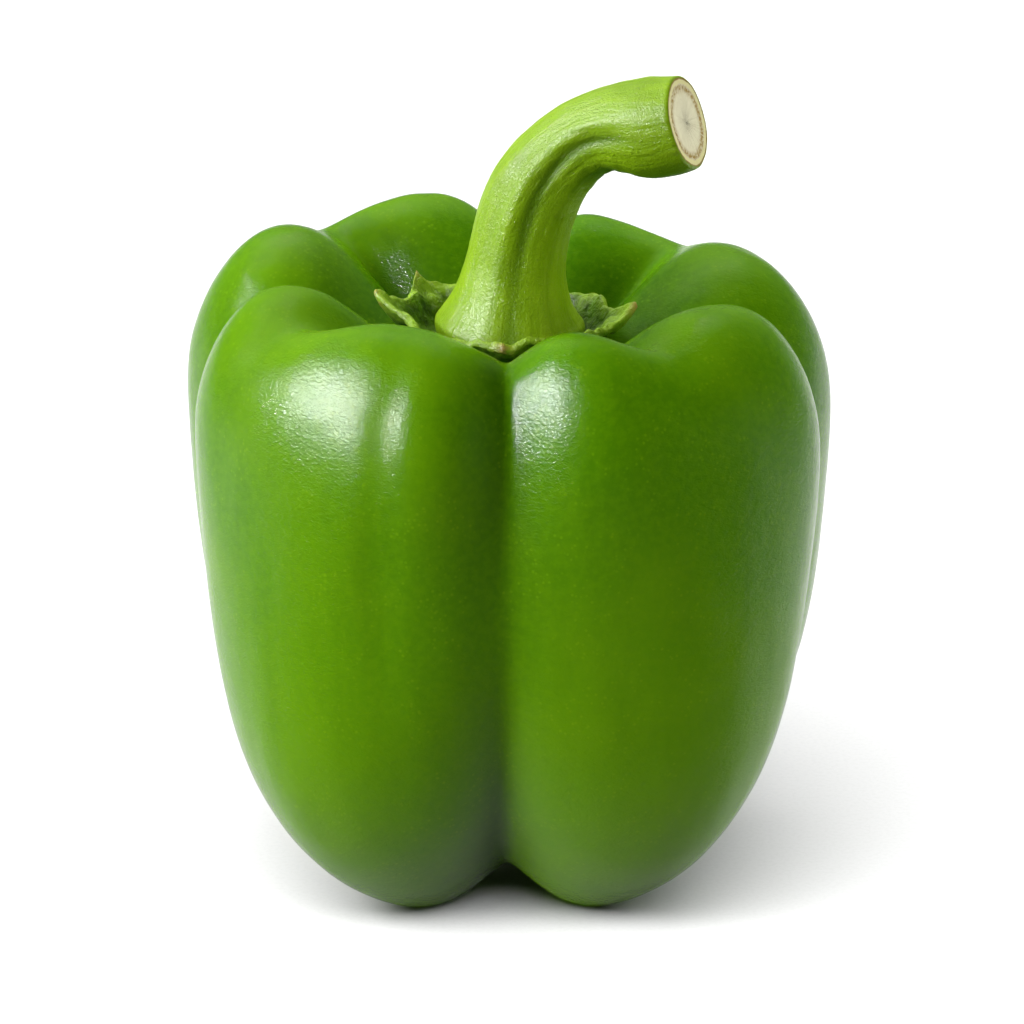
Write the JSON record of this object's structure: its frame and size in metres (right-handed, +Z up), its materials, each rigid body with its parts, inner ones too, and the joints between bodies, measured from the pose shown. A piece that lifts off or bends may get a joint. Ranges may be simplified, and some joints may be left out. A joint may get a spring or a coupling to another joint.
{
  "type": "bell pepper",
  "caption": "Green bell pepper: a blocky lobed pod with shallow furrows, a toothed calyx sunk in its stem cavity, and a short stem bent to one side and cut square.",
  "frame": {"origin": "on the surface the pepper rests on, under the middle of its bounding box", "axes": "+Z up along the pod's axis towards the stem, -Y towards the furrow at the front, +X towards the side the stem leans to"},
  "size_m": [0.0888, 0.0874, 0.1165],
  "materials": {
    "pod": "smooth waxy green skin, glossy",
    "calyx": "wrinkled dark green leaf tissue, dull",
    "stem": "yellow-green fibrous stem, satin"
  },
  "bodies": {
    "root": {"pod": "pod", "calyx": "calyx", "stem": "stem"}
  },
  "joints": []
}
